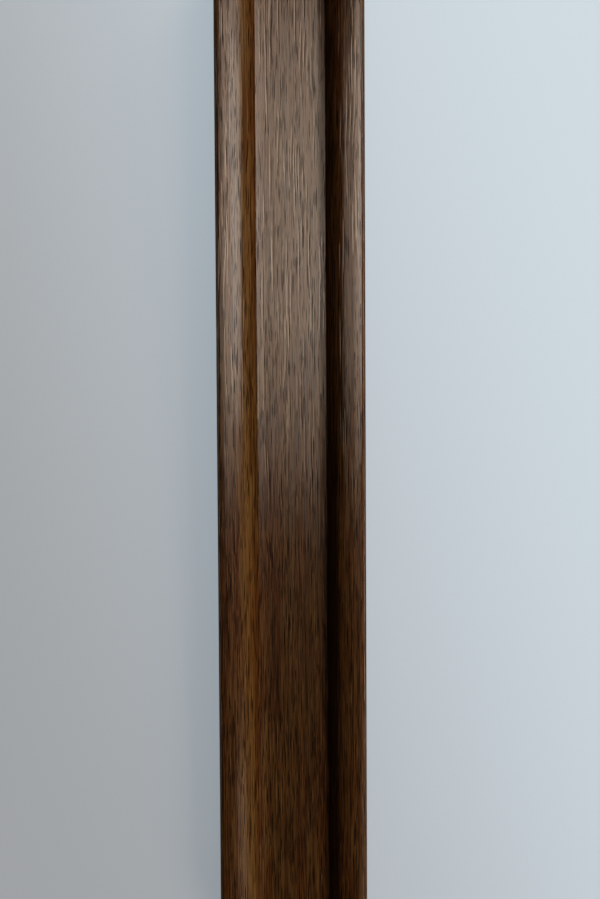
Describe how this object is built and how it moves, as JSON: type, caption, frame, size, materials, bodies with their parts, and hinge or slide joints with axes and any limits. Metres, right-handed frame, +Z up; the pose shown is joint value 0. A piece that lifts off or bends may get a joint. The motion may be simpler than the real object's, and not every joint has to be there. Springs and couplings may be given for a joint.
{
  "type": "transition trim strip",
  "caption": "Straight length of walnut moulding: a rounded bead along each long edge with a sunk flat between them, relieved back, ends cut square.",
  "frame": {"origin": "middle of the underside, in the plane that the strip lies on", "axes": "+Z up out of the moulded face, +Y along the strip, +X across it"},
  "size_m": [0.045, 0.3, 0.012],
  "materials": {
    "lacquered_walnut": "satin clear lacquer over open-pored walnut"
  },
  "bodies": {
    "root": {"trim_strip": "lacquered_walnut"}
  },
  "joints": []
}
